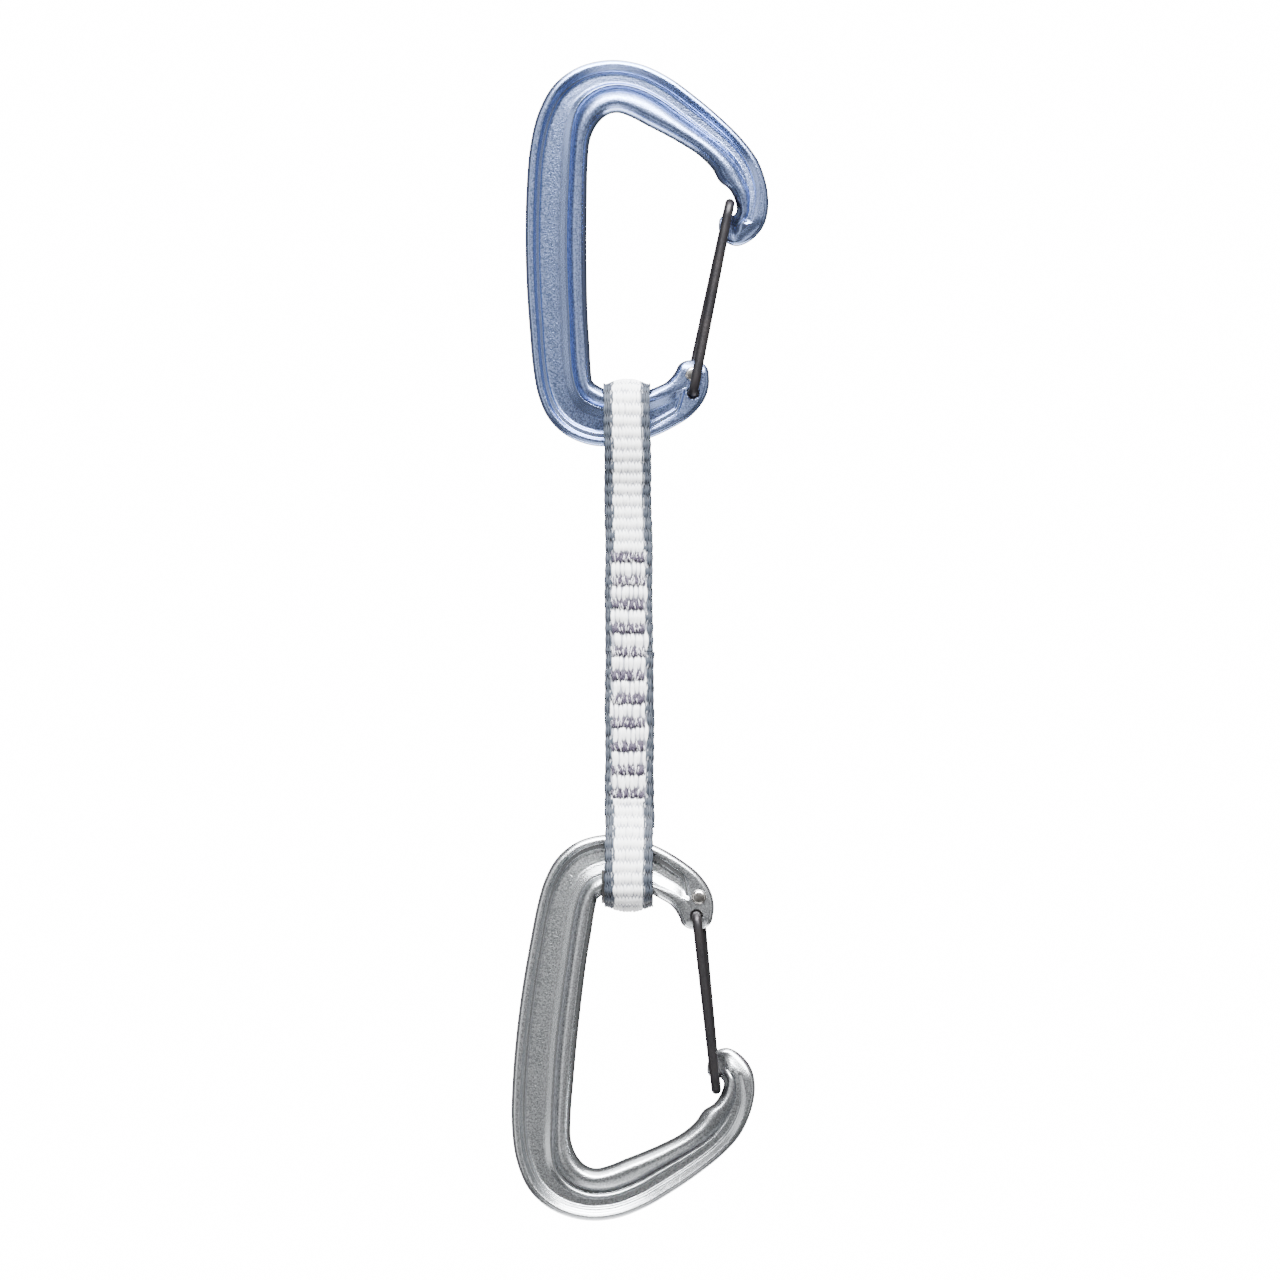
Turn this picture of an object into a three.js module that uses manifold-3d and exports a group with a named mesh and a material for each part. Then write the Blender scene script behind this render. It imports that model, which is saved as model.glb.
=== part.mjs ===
// A climbing quickdraw: two forged wire-gate carabiners joined by a sewn webbing sling.
//
// Frame: millimetres, +Z up as the draw hangs, +X towards the gates, -Y towards the viewer.
// The origin is where a bolt hanger bears inside the crook of the bolt-end carabiner.
// Both carabiners are the same forging. The rope-end one hangs nose down, turned half
// a turn about X and leaning a few degrees, with a rubber keeper between it and the sling.

import * as THREE from "three";
import { mergeVertices } from "three/addons/utils/BufferGeometryUtils.js";
import Module from "manifold-3d";

const wasm = await Module();
wasm.setup();

const degrees = Math.PI / 180;

// ---- Driving dimensions ----

const gap = 0.1; // clearance between pieces that touch on the real draw
const ropeEndPlace = { x: -5.0, z: -238.0, lean: 5.8 * degrees };

// The basket, where the sling bears, is an arc of the frame's inner outline.
const basket = { x: 2.26, z: -50.8, radius: 12.6 };

// Pivot holes for the two ends of the gate wire, one above the other through the eye.
const eyeHalfDepth = 2.8;
const wire = {
  radius: 1.1,
  frontHole: { x: 16.9, z: -63.2 },
  backHole: { x: 16.8, z: -59.0 },
  tip: { x: 25.1, z: -20.6 },
  tipHalfWidth: 3.05,
  bend: 2.0,
  headRadius: 1.65,
  headHeight: 0.75,
  opening: 28 * degrees,
};

const tape = { x: 2.3, width: 10.8, thickness: 1.9 };
const ply = tape.thickness + 0.05; // pitch of the plies where they are sewn together
const bolt = { bendZ: -88, archZ: -66.3, archRadius: 5.55 };
const rope = { bendZ: -158.2, archZ: -172.9, archRadius: 6.45 };
const bendAngle = 80 * degrees; // how far the sling folds at each loop
const innerEnd = { top: -96.5, bottom: -156.2 }; // the ply sewn between the other two

const tacks = { count: 11, firstZ: -100.2, pitch: 5.33, width: 7.6, height: 2.2, proud: 0.35 };
const threadHalf = 0.3; // half the side of a thread post, where a tack passes through the plies
const threadX = 3.0;

const keeper = { x: 2.1, width: 11.6, topZ: -170.6, side: 0.9 };

// ---- Solids ----

function solidOf(geometry) {
  const bare = geometry.index ? geometry.toNonIndexed() : geometry.clone();
  bare.deleteAttribute("normal");
  bare.deleteAttribute("uv");
  const merged = mergeVertices(bare, 1e-4);
  return new wasm.Manifold(
    new wasm.Mesh({
      numProp: 3,
      vertProperties: new Float32Array(merged.attributes.position.array),
      triVerts: new Uint32Array(merged.index.array),
    }),
  );
}

function geometryOf(solid) {
  const mesh = solid.getMesh();
  const geometry = new THREE.BufferGeometry();
  geometry.setAttribute("position", new THREE.BufferAttribute(mesh.vertProperties, 3));
  geometry.setIndex(new THREE.BufferAttribute(mesh.triVerts, 1));
  geometry.computeVertexNormals();
  return geometry;
}

const cut = (body, ...tools) =>
  geometryOf(tools.reduce((rest, tool) => rest.subtract(solidOf(tool)), solidOf(body)));

const join = (...bodies) =>
  geometryOf(bodies.map(solidOf).reduce((whole, next) => whole.add(next)));

// A shape drawn in the Y-Z plane and extruded across the tape, centred on x.
function acrossTape(shape, width, x) {
  const options = { depth: width, bevelEnabled: false, curveSegments: 10 };
  return new THREE.ExtrudeGeometry(shape, options)
    .rotateX(Math.PI / 2)
    .rotateZ(Math.PI / 2)
    .translate(x - width / 2, 0, 0);
}

function block(x, y, z, width, depth, height) {
  return new THREE.BoxGeometry(width, depth, height).translate(x, y, z);
}

// ---- Carabiner frame ----

// A point of the basket arc, its angle measured from straight down, positive towards the gate.
function basketPoint(angle) {
  const turn = angle * degrees;
  return [basket.x + basket.radius * Math.sin(turn), basket.z - basket.radius * Math.cos(turn)];
}

// Outer and inner edge of the bar, in pairs, from the eye round the basket, up the spine,
// over the crook and down to the nose hook.
const outline = [
  [[18.3, -55.7], [15.2, -55.9]],
  [[20.0, -57.3], [13.8, -57.1]],
  [[20.6, -60.2], [12.8, -58.5]],
  [[20.3, -62.6], [11.9, -59.7]],
  [[19.2, -65.2], [10.6, -60.85]],
  [[16.4, -68.4], [8.7, -61.75]],
  [[11.6, -71.4], basketPoint(17)],
  [[6.2, -73.7], basketPoint(4)],
  [[0.2, -75.0], basketPoint(-9)],
  [[-5.8, -75.0], basketPoint(-22)],
  [[-11.6, -72.8], basketPoint(-39)],
  [[-15.6, -69.0], [-6.0, -59.0]],
  [[-17.9, -64.0], [-6.2, -56.5]],
  [[-19.1, -58.0], [-6.4, -52.5]],
  [[-19.9, -49.5], [-6.8, -46.0]],
  [[-20.6, -39.5], [-7.0, -38.0]],
  [[-20.9, -29.0], [-7.1, -29.0]],
  [[-20.7, -18.0], [-7.0, -19.0]],
  [[-19.9, -8.0], [-6.8, -11.0]],
  [[-18.0, 0.0], [-6.2, -5.8]],
  [[-14.5, 6.3], [-4.6, -2.5]],
  [[-9.0, 10.3], [-2.4, -0.5]],
  [[-2.0, 11.9], [0.0, 0.0]],
  [[5.0, 11.0], [3.0, -1.0]],
  [[11.5, 8.0], [6.6, -2.9]],
  [[17.6, 3.6], [10.5, -4.9]],
  [[23.4, -1.3], [14.4, -7.1]],
  [[28.2, -6.1], [18.2, -9.6]],
  [[31.5, -10.6], [21.2, -12.6]],
  [[33.2, -15.0], [22.9, -15.5]],
  [[33.9, -19.0], [25.0, -17.2]],
  [[33.8, -22.4], [26.4, -19.8]],
  [[32.7, -25.8], [26.7, -22.2]],
  [[30.2, -28.6], [25.9, -23.1]],
  [[27.0, -30.0], [24.9, -23.2]],
  [[24.7, -29.4], [24.0, -23.1]],
  [[23.2, -27.3], [23.2, -23.3]],
  [[22.8, -25.9], [22.8, -24.5]],
];

// Half-depth of the bar at places along the outline: the outer rail, the thin web between
// the rails, the crest and the valley beside the rod, and the rod that the rope bears on.
const depths = [
  { at: 0, rail: 2.0, web: 2.0, crest: 2.0, valley: 2.0, rod: 2.0 },
  { at: 1, rail: 2.7, web: 2.8, crest: 2.8, valley: 2.8, rod: 2.7 },
  { at: 4, rail: 2.8, web: 2.8, crest: 2.8, valley: 2.8, rod: 2.9 },
  { at: 4.8, rail: 3.0, web: 1.9, crest: 2.6, valley: 2.6, rod: 3.4 },
  { at: 8, rail: 3.3, web: 1.6, crest: 2.5, valley: 2.4, rod: 4.3 },
  { at: 10, rail: 3.3, web: 1.6, crest: 2.4, valley: 2.4, rod: 4.3 },
  { at: 14, rail: 3.4, web: 1.5, crest: 1.8, valley: 2.4, rod: 3.6 },
  { at: 18, rail: 3.4, web: 1.5, crest: 1.8, valley: 2.4, rod: 3.6 },
  { at: 22, rail: 3.2, web: 1.6, crest: 2.7, valley: 2.6, rod: 4.6 },
  { at: 27, rail: 3.1, web: 1.8, crest: 2.7, valley: 2.6, rod: 4.3 },
  { at: 30, rail: 3.1, web: 2.2, crest: 2.4, valley: 2.4, rod: 3.8 },
  { at: 31.4, rail: 3.2, web: 2.6, crest: 2.8, valley: 2.9, rod: 3.4 },
  { at: 32.2, rail: 3.3, web: 3.3, crest: 3.2, valley: 2.8, rod: 2.2 },
  { at: 33, rail: 3.0, web: 2.9, crest: 2.4, valley: 1.9, rod: 1.6 },
  { at: 34, rail: 2.2, web: 2.0, crest: 1.8, valley: 1.6, rod: 1.6 },
  { at: 35, rail: 1.6, web: 1.6, crest: 1.6, valley: 1.6, rod: 1.6 },
  { at: 37, rail: 1.2, web: 1.3, crest: 1.3, valley: 1.3, rod: 1.2 },
];

// Where those features lie across the bar, as shares of its width from the outer edge.
const shares = [
  { at: 0, rail: 0.15, foot: 0.24, web: 0.45, crest: 0.52, valley: 0.6, rod: 0.78 },
  { at: 10, rail: 0.15, foot: 0.24, web: 0.45, crest: 0.52, valley: 0.62, rod: 0.8 },
  { at: 13, rail: 0.145, foot: 0.215, web: 0.5, crest: 0.53, valley: 0.74, rod: 0.87 },
  { at: 18, rail: 0.145, foot: 0.215, web: 0.5, crest: 0.53, valley: 0.74, rod: 0.87 },
  { at: 22, rail: 0.105, foot: 0.25, web: 0.4, crest: 0.44, valley: 0.56, rod: 0.79 },
  { at: 37, rail: 0.13, foot: 0.24, web: 0.4, crest: 0.45, valley: 0.54, rod: 0.75 },
];

// The row of a table at a place along the outline, between the rows on either side.
function rowAt(table, place) {
  const next = Math.max(1, table.findIndex((row) => row.at >= place));
  const [low, high] = [table[next - 1], table[next]];
  const share = (place - low.at) / (high.at - low.at);
  const mixed = {};
  for (const key of Object.keys(low)) mixed[key] = THREE.MathUtils.lerp(low[key], high[key], share);
  return mixed;
}

// Half of the bar's section at a place: [share across from the outer edge, half-depth].
function halfSection(place) {
  const deep = rowAt(depths, place);
  const across = rowAt(shares, place);
  const rodPoint = (turn) => [
    across.rod + (1 - across.rod) * Math.sin(turn * degrees),
    deep.rod * Math.cos(turn * degrees),
  ];
  return [
    [0, 0.35 * deep.rail],
    [0.2 * across.rail, 0.72 * deep.rail],
    [0.6 * across.rail, 0.96 * deep.rail],
    [across.rail, deep.rail],
    [across.foot, deep.web],
    [across.web, deep.web],
    [across.crest, deep.crest],
    [across.valley, deep.valley],
    [(across.valley + across.rod) / 2, (0.35 * deep.valley + 0.65 * deep.rod)],
    rodPoint(0),
    rodPoint(40),
    rodPoint(65),
    [1, 0.2 * deep.rod],
  ];
}

// The frame's body: sections lofted along the outline, with a flat cap at each end.
function loftedBar(stepsPerSpan) {
  const edge = (side) =>
    new THREE.CatmullRomCurve3(
      outline.map((pair) => new THREE.Vector3(pair[side][0], 0, pair[side][1])),
      false,
      "centripetal",
    );
  const [outer, inner] = [edge(0), edge(1)];
  const spans = outline.length - 1;
  const count = spans * stepsPerSpan;
  const vertices = [];
  for (let i = 0; i <= count; i++) {
    const place = i / stepsPerSpan;
    const [a, b] = [outer.getPoint(i / count), inner.getPoint(i / count)];
    const half = halfSection(place);
    const ring = [...half, ...half.map(([s, y]) => [s, -y]).reverse()];
    for (const [share, y] of ring) {
      const point = a.clone().lerp(b, share);
      vertices.push(point.x, y, point.z);
    }
  }
  const round = vertices.length / 3 / (count + 1);
  const triangles = [];
  for (let i = 0; i < count; i++) {
    for (let j = 0; j < round; j++) {
      const k = (j + 1) % round;
      const [p, q] = [i * round + j, i * round + k];
      const [r, s] = [p + round, q + round];
      triangles.push(p, r, q, q, r, s);
    }
  }
  const lastRing = count * round;
  for (let j = 1; j < round / 2; j++) {
    const [low, high] = [j, round - 1 - j];
    triangles.push(low - 1, low, high, low - 1, high, high + 1);
    triangles.push(lastRing + low - 1, lastRing + high, lastRing + low);
    triangles.push(lastRing + low - 1, lastRing + high + 1, lastRing + high);
  }
  const geometry = new THREE.BufferGeometry();
  geometry.setAttribute("position", new THREE.Float32BufferAttribute(vertices, 3));
  geometry.setIndex(triangles);
  return geometry;
}

const pivot = {
  x: (wire.frontHole.x + wire.backHole.x) / 2,
  z: (wire.frontHole.z + wire.backHole.z) / 2,
};

// The hole for one end of the gate wire. It is a short slot, as long as the end moves
// when the gate turns about the middle of its two holes.
function pivotSlot(hole) {
  const radius = wire.radius + 0.2;
  const from = new THREE.Vector2(hole.x - pivot.x, hole.z - pivot.z);
  const to = from.clone().rotateAround(new THREE.Vector2(), wire.opening);
  const side = to.clone().sub(from).angle();
  const slot = new THREE.Shape();
  slot.absarc(from.x, from.y, radius, side + Math.PI / 2, side + 1.5 * Math.PI);
  slot.absarc(to.x, to.y, radius, side - Math.PI / 2, side + Math.PI / 2);
  const length = 4 * eyeHalfDepth;
  return new THREE.ExtrudeGeometry(slot, { depth: length, bevelEnabled: false, curveSegments: 8 })
    .translate(0, 0, -length / 2)
    .rotateX(Math.PI / 2)
    .translate(pivot.x, 0, pivot.z);
}

const frameGeometry = cut(loftedBar(2), pivotSlot(wire.frontHole), pivotSlot(wire.backHole));

// ---- Gate wire ----

// One wire bent to a long loop. Each end turns in through the eye and is peened to a head
// on the far side: the front leg through the front hole, the back leg through the back one.
function wirePath() {
  const legY = eyeHalfDepth + gap + wire.radius;
  const endY = eyeHalfDepth + wire.headHeight / 2;
  const tip = new THREE.Vector3(wire.tip.x, 0, wire.tip.z);
  const leg = (hole, side) => {
    const foot = new THREE.Vector3(hole.x, side * legY, hole.z);
    const corner = tip.clone().setY(side * wire.tipHalfWidth);
    const along = corner.clone().sub(foot).normalize();
    return {
      end: foot.clone().setY(-side * endY),
      in: foot.clone().setY(side * (legY - wire.bend)),
      foot,
      up: foot.clone().addScaledVector(along, wire.bend),
      down: corner.clone().addScaledVector(along, -wire.bend),
      corner,
      over: corner.clone().setY(side * (wire.tipHalfWidth - wire.bend)),
    };
  };
  const front = leg(wire.frontHole, -1);
  const back = leg(wire.backHole, 1);
  const path = new THREE.CurvePath();
  path.add(new THREE.LineCurve3(front.end, front.in));
  path.add(new THREE.QuadraticBezierCurve3(front.in, front.foot, front.up));
  path.add(new THREE.LineCurve3(front.up, front.down));
  path.add(new THREE.QuadraticBezierCurve3(front.down, front.corner, front.over));
  path.add(new THREE.LineCurve3(front.over, back.over));
  path.add(new THREE.QuadraticBezierCurve3(back.over, back.corner, back.down));
  path.add(new THREE.LineCurve3(back.down, back.up));
  path.add(new THREE.QuadraticBezierCurve3(back.up, back.foot, back.in));
  path.add(new THREE.LineCurve3(back.in, back.end));
  return path;
}

function peenedHead(hole, side) {
  const dome = [
    [0, 0],
    [wire.headRadius, 0],
    [0.85 * wire.headRadius, 0.55 * wire.headHeight],
    [0.45 * wire.headRadius, 0.92 * wire.headHeight],
    [0, wire.headHeight],
  ].map(([r, y]) => new THREE.Vector2(r, y));
  return new THREE.LatheGeometry(dome, 16)
    .rotateX(side > 0 ? 0 : Math.PI)
    .translate(hole.x, side * (eyeHalfDepth + gap), hole.z);
}

function gateWire() {
  const section = new THREE.Shape();
  section.absarc(0, 0, wire.radius, 0, 2 * Math.PI);
  const rod = new THREE.ExtrudeGeometry(section, {
    extrudePath: wirePath(),
    steps: 84,
    curveSegments: 5,
    bevelEnabled: false,
  });
  return join(rod, peenedHead(wire.frontHole, 1), peenedHead(wire.backHole, -1));
}

const gateGeometry = gateWire();

function carabiner(name, frameMaterial) {
  const group = new THREE.Group();
  const frame = new THREE.Mesh(frameGeometry, frameMaterial);
  frame.name = `${name}_frame`;
  const gate = new THREE.Mesh(gateGeometry, materials.wire);
  gate.name = `${name}_gate_wire`;
  group.add(frame, gate);
  return group;
}

// ---- Sling ----

// The outline of a tape seen from its edge: a line of points in Y-Z, half the thickness each side.
function tapeEdge(points) {
  const line = new THREE.SplineCurve(points.map(([y, z]) => new THREE.Vector2(y, z)));
  const steps = (points.length - 1) * 3;
  const half = tape.thickness / 2;
  const sides = [[], []];
  for (let i = 0; i <= steps; i++) {
    const at = line.getPoint(i / steps);
    const along = line.getTangent(i / steps);
    sides[0].push(new THREE.Vector2(at.x - half * along.y, at.y + half * along.x));
    sides[1].unshift(new THREE.Vector2(at.x + half * along.y, at.y - half * along.x));
  }
  return new THREE.Shape([...sides[0], ...sides[1]]);
}

// Half the arch of a loop, from its crown to the side of the bar. up is 1 for the bolt end.
const arch = (loop, up) =>
  [90, 60, 30, 0].map((turn) => [
    loop.archRadius * Math.cos(turn * degrees),
    loop.archZ + up * loop.archRadius * Math.sin(turn * degrees),
  ]);

// A whole loop: the crown, then one leg down to the bend, mirrored for the other leg.
function loopTape(leg) {
  const front = leg.map(([y, z]) => [-y, z]).reverse();
  return acrossTape(tapeEdge([...front, ...leg.slice(1)]), tape.width, tape.x);
}

// The room that the sling needs to fold about X at z: a wedge on each side of the axis.
function bendRoom(z) {
  const reach = 9;
  const rise = reach * Math.tan(bendAngle / 2) + gap;
  const bow = new THREE.Shape();
  bow.moveTo(0, z + gap).lineTo(reach, z + rise).lineTo(reach, z - rise);
  bow.lineTo(0, z - gap).lineTo(-reach, z - rise).lineTo(-reach, z + rise);
  return acrossTape(bow, 3 * tape.width, tape.x);
}

const tackZ = Array.from({ length: tacks.count }, (_, i) => tacks.firstZ - i * tacks.pitch);
const postX = [tape.x - threadX, tape.x + threadX];

// Needle holes for the tacks that pass through a run of tape.
function needleHoles(top, bottom) {
  const side = 2 * (threadHalf + gap);
  const reach = 6 * tape.thickness;
  return tackZ
    .filter((z) => z < top && z > bottom)
    .flatMap((z) => postX.map((x) => block(x, 0, z, side, reach, side)));
}

function straightRun(y, top, bottom) {
  const length = top - bottom;
  const run = block(tape.x, y, (top + bottom) / 2, tape.width, tape.thickness, length);
  return cut(run, bendRoom(bolt.bendZ), bendRoom(rope.bendZ), ...needleHoles(top, bottom));
}

// A bar tack: a bar of thread on each face of the sling, joined through the needle holes.
function barTack(z) {
  const face = 1.5 * ply + gap;
  const bar = (side) =>
    block(tape.x, side * (face + tacks.proud / 2), z, tacks.width, tacks.proud, tacks.height);
  const posts = postX.map((x) =>
    block(x, 0, z, 2 * threadHalf, 2 * face + tacks.proud, 2 * threadHalf),
  );
  return join(bar(-1), bar(1), ...posts);
}

// One leg of each loop, from the crown to the bend, where the plies come together.
const boltLeg = [
  ...arch(bolt, 1),
  [5.4, -72],
  [5.0, -76],
  [3.9, -80],
  [2.5, -84],
  [ply, bolt.bendZ],
];
const ropeLeg = [
  ...arch(rope, -1),
  [6.4, -170.6],
  [5.8, -167],
  [4.8, -163.6],
  [3.1, -160.6],
  [ply, rope.bendZ],
];

// ---- Keeper ----

// The rubber saddle inside the rope-end loop, hollowed to the bar's own curve, so that the
// carabiner can rock in it.
function keeperSaddle() {
  const half = rope.archRadius - tape.thickness / 2 - gap;
  const cup = new THREE.Shape();
  cup.moveTo(half, keeper.topZ);
  cup.lineTo(-half, keeper.topZ);
  cup.lineTo(-half, rope.archZ);
  cup.absarc(0, rope.archZ, half, Math.PI, 2 * Math.PI);
  cup.lineTo(half, keeper.topZ);
  const barHalf = half - keeper.side;
  const bar = [
    [basket.radius - 0.15, 0],
    [basket.radius - 0.15, 1.3],
    [basket.radius + 0.3, 2.8],
    [basket.radius + 1.0, 3.8],
    [basket.radius + 1.9, barHalf],
    [30, barHalf],
    [30, -barHalf],
    [basket.radius + 1.9, -barHalf],
    [basket.radius + 1.0, -3.8],
    [basket.radius + 0.3, -2.8],
    [basket.radius - 0.15, -1.3],
    [basket.radius - 0.15, 0],
  ].map(([r, y]) => new THREE.Vector2(r, y));
  const centre = new THREE.Vector3(basket.x, 0, -basket.z)
    .applyAxisAngle(new THREE.Vector3(0, 1, 0), ropeEndPlace.lean)
    .add(new THREE.Vector3(ropeEndPlace.x, 0, ropeEndPlace.z));
  const barRoom = new THREE.LatheGeometry(bar.reverse(), 72).translate(centre.x, 0, centre.z);
  return cut(acrossTape(cup, keeper.width, keeper.x), barRoom);
}

// ---- Assembly ----

const materials = {
  boltEnd: new THREE.MeshStandardMaterial({ color: 0x7c93c2, metalness: 1, roughness: 0.38 }),
  ropeEnd: new THREE.MeshStandardMaterial({ color: 0x8f979d, metalness: 1, roughness: 0.36 }),
  wire: new THREE.MeshStandardMaterial({ color: 0x3b3638, metalness: 0.8, roughness: 0.45 }),
  tape: new THREE.MeshStandardMaterial({ color: 0xf0f0f2, metalness: 0, roughness: 0.75 }),
  thread: new THREE.MeshStandardMaterial({ color: 0x77727f, metalness: 0, roughness: 0.8 }),
  rubber: new THREE.MeshStandardMaterial({ color: 0x19181a, metalness: 0, roughness: 0.6 }),
};

function piece(name, geometry, material) {
  const mesh = new THREE.Mesh(geometry, material);
  mesh.name = name;
  return mesh;
}

const quickdraw = new THREE.Group();

quickdraw.add(carabiner("bolt_end", materials.boltEnd));

const ropeEnd = carabiner("rope_end", materials.ropeEnd);
ropeEnd.rotation.x = Math.PI;
const leaning = new THREE.Group();
leaning.rotation.y = ropeEndPlace.lean;
leaning.position.set(ropeEndPlace.x, 0, ropeEndPlace.z);
leaning.add(ropeEnd);
quickdraw.add(leaning);

quickdraw.add(
  piece("tape_bolt_loop", cut(loopTape(boltLeg), bendRoom(bolt.bendZ)), materials.tape),
  piece("tape_front_run", straightRun(-ply, bolt.bendZ, rope.bendZ), materials.tape),
  piece("tape_inner_end", straightRun(0, innerEnd.top, innerEnd.bottom), materials.tape),
  piece("tape_outer_end", straightRun(ply, bolt.bendZ, rope.bendZ), materials.tape),
  piece("tape_rope_loop", cut(loopTape(ropeLeg), bendRoom(rope.bendZ)), materials.tape),
  piece("rubber_keeper", keeperSaddle(), materials.rubber),
);

tackZ.forEach((z, i) => {
  const number = String(i + 1).padStart(2, "0");
  quickdraw.add(piece(`bar_tack_${number}`, barTack(z), materials.thread));
});

export default quickdraw;
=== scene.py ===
import math

import bpy
import numpy as np
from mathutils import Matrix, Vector


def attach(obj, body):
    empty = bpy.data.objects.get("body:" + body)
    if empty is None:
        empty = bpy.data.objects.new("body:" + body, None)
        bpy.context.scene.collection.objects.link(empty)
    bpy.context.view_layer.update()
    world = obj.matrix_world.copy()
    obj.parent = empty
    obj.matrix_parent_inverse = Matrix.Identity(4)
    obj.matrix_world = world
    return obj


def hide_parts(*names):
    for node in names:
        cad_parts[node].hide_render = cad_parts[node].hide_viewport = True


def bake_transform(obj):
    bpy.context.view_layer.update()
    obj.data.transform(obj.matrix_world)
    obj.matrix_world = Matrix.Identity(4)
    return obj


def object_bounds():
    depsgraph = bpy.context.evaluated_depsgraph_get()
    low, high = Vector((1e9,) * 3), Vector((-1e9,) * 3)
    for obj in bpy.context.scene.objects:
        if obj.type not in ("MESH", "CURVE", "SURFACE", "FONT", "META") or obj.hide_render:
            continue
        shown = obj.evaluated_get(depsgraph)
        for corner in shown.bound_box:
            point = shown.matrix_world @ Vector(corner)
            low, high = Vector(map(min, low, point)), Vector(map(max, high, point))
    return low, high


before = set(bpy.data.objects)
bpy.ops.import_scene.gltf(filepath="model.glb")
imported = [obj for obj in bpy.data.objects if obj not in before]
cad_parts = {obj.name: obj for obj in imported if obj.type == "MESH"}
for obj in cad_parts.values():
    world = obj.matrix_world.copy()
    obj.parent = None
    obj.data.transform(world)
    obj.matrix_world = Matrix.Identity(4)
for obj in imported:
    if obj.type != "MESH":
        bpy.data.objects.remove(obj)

mm = 0.001
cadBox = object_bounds()


# camera, level with the middle of the draw, with a long lens
view = {"middle": (4.96, -118.87), "height": 288.7, "distance": 2200}


def placeCamera():
    lens = bpy.data.cameras.new("camera")
    lens.sensor_width = 36
    lens.lens = 36 * view["distance"] / view["height"]
    lens.clip_end = 20
    camera = bpy.data.objects.new("camera", lens)
    x, z = view["middle"]
    camera.location = (x * mm, -view["distance"] * mm, z * mm)
    camera.rotation_euler = (math.radians(90), 0, 0)
    bpy.context.collection.objects.link(camera)
    bpy.context.scene.camera = camera


# studio: a key box overhead, weak side boxes, a pale surround behind and darkness round the camera
studio = {
    "softboxes": [
        {"name": "key", "at": (0.1, -1.15, 1.3), "size": (1.8, 1.0), "watts": 290},
        {"name": "overhead", "at": (0.0, 0.05, 1.5), "size": (1.6, 1.0), "watts": 60},
        {"name": "left", "at": (-1.35, -1.15, 0.1), "size": (0.7, 1.6), "watts": 6},
        {"name": "right", "at": (1.5, -0.9, 0.1), "size": (0.5, 1.6), "watts": 3},
        {"name": "under", "at": (0.0, -1.1, -1.3), "size": (1.7, 0.7), "watts": 7},
        {"name": "bounce", "at": (0.0, 0.75, -1.2), "size": (1.6, 0.6), "watts": 30},
    ],
    # brightness of the surround against how far a direction points away from the camera
    "surround": [(-1.0, 0.16), (-0.75, 0.13), (-0.3, 0.10), (0.1, 0.27), (0.6, 0.27), (0.75, 0.07),
                 (1.0, 0.05)],
    "backdrop": 16.0,
    "floorDrop": 900,
    "floorSize": 0.9,
}


def lightStudio():
    middle = Vector((view["middle"][0] * mm, 0, view["middle"][1] * mm))
    for box in studio["softboxes"]:
        lamp = bpy.data.lights.new(box["name"], "AREA")
        lamp.shape = "RECTANGLE"
        lamp.size, lamp.size_y = box["size"]
        lamp.energy = box["watts"]
        light = bpy.data.objects.new(box["name"], lamp)
        light.location = middle + Vector(box["at"])
        light.rotation_euler = (middle - light.location).to_track_quat("-Z", "Y").to_euler()
        bpy.context.collection.objects.link(light)
    world = bpy.data.worlds.new("surround")
    world.use_nodes = True
    nodes, links = world.node_tree.nodes, world.node_tree.links
    toward = nodes.new("ShaderNodeSeparateXYZ")
    links.new(nodes.new("ShaderNodeTexCoord").outputs["Generated"], toward.inputs[0])
    ramp = nodes.new("ShaderNodeMapRange")
    ramp.inputs["From Min"].default_value = -1
    links.new(toward.outputs["Y"], ramp.inputs["Value"])
    shades = nodes.new("ShaderNodeValToRGB")
    for k, (away, bright) in enumerate(studio["surround"]):
        stop = shades.color_ramp.elements[k] if k < 2 else shades.color_ramp.elements.new(0.5 + 0.5 * away)
        stop.position = 0.5 + 0.5 * away
        stop.color = (bright, bright, bright, 1)
    links.new(ramp.outputs["Result"], shades.inputs["Fac"])
    seen = nodes.new("ShaderNodeLightPath")
    mix = nodes.new("ShaderNodeMix")
    mix.data_type = "RGBA"
    links.new(shades.outputs["Color"], mix.inputs["A"])
    mix.inputs["B"].default_value = (studio["backdrop"],) * 3 + (1,)
    links.new(seen.outputs["Is Camera Ray"], mix.inputs["Factor"])
    links.new(mix.outputs["Result"], nodes["Background"].inputs["Color"])
    bpy.context.scene.world = world


def layFloor():
    bpy.ops.object.select_all(action="DESELECT")
    low = cadBox[0][2] - studio["floorDrop"] * mm
    bpy.ops.mesh.primitive_circle_add(vertices=96, radius=studio["floorSize"] / 2, fill_type="NGON",
                                      location=(0, 0, low))
    floor = bpy.context.object
    floor.name = "floor"
    paper = bpy.data.materials.new("floorPaper")
    paper.use_nodes = True
    shader = paper.node_tree.nodes["Principled BSDF"]
    shader.inputs["Base Color"].default_value = (0.86, 0.86, 0.87, 1)
    shader.inputs["Roughness"].default_value = 0.9
    floor.data.materials.append(paper)


# shape helpers

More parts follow.
